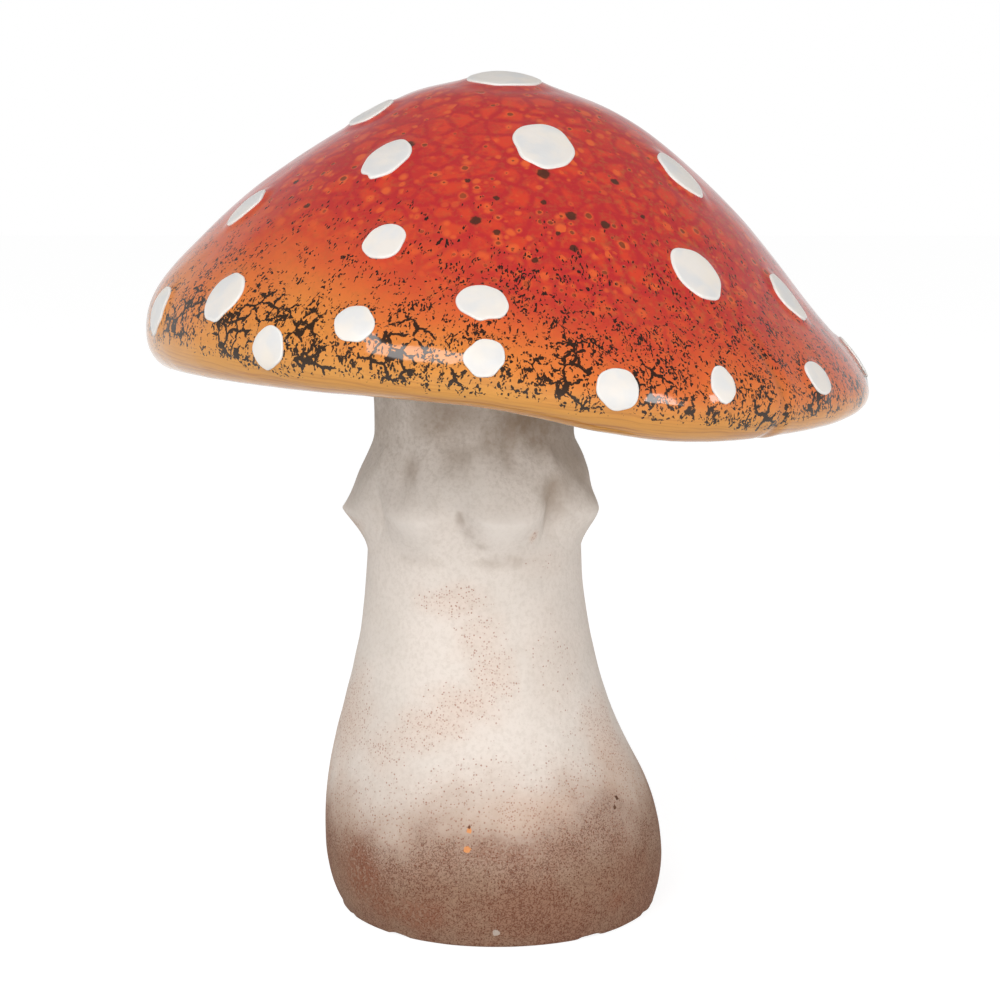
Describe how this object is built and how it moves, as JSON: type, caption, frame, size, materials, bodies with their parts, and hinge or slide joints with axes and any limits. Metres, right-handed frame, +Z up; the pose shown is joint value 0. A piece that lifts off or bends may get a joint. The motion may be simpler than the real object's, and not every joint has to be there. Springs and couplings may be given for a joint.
{
  "type": "ceramic mushroom ornament",
  "caption": "Free-standing glazed ceramic toadstool: a wide domed cap with raised white dabs on a bulbous stem with a lobed skirt.",
  "frame": {"origin": "middle of the flat foot, on the surface that the ornament stands on", "axes": "+Z up; +X to the right of the pictured front; the front faces -Y"},
  "size_m": [0.2045, 0.2059, 0.2397],
  "materials": {
    "cap_glaze": "glossy glaze, red over orange over ochre, with dark crackle near the rim",
    "white_slip": "satin white, raised dabs",
    "stem_clay": "matt chalky wash over terracotta, brown at the foot",
    "gill_clay": "matt wash"
  },
  "bodies": {
    "root": {"cap_shell": "cap_glaze", "dab_crown": "white_slip", "dab_lower_1": "white_slip", "dab_lower_2": "white_slip", "dab_lower_3": "white_slip", "dab_lower_4": "white_slip", "dab_lower_5": "white_slip", "dab_lower_6": "white_slip", "dab_lower_7": "white_slip", "dab_lower_8": "white_slip", "dab_middle_1": "white_slip", "dab_middle_2": "white_slip", "dab_middle_3": "white_slip", "dab_middle_4": "white_slip", "dab_middle_5": "white_slip", "dab_middle_6": "white_slip", "dab_middle_7": "white_slip", "dab_middle_8": "white_slip", "dab_middle_9": "white_slip", "dab_rim_1": "white_slip", "dab_rim_10": "white_slip", "dab_rim_11": "white_slip", "dab_rim_2": "white_slip", "dab_rim_3": "white_slip", "dab_rim_4": "white_slip", "dab_rim_5": "white_slip", "dab_rim_6": "white_slip", "dab_rim_7": "white_slip", "dab_rim_8": "white_slip", "dab_rim_9": "white_slip", "dab_upper_1": "white_slip", "dab_upper_2": "white_slip", "dab_upper_3": "white_slip", "dab_upper_4": "white_slip", "dab_upper_5": "white_slip", "dab_upper_6": "white_slip", "dab_upper_7": "white_slip", "gill_plate": "gill_clay", "neck_lute": "stem_clay", "rim_lute": "gill_clay", "skirt_collar": "stem_clay", "stem_shell": "stem_clay"}
  },
  "joints": []
}
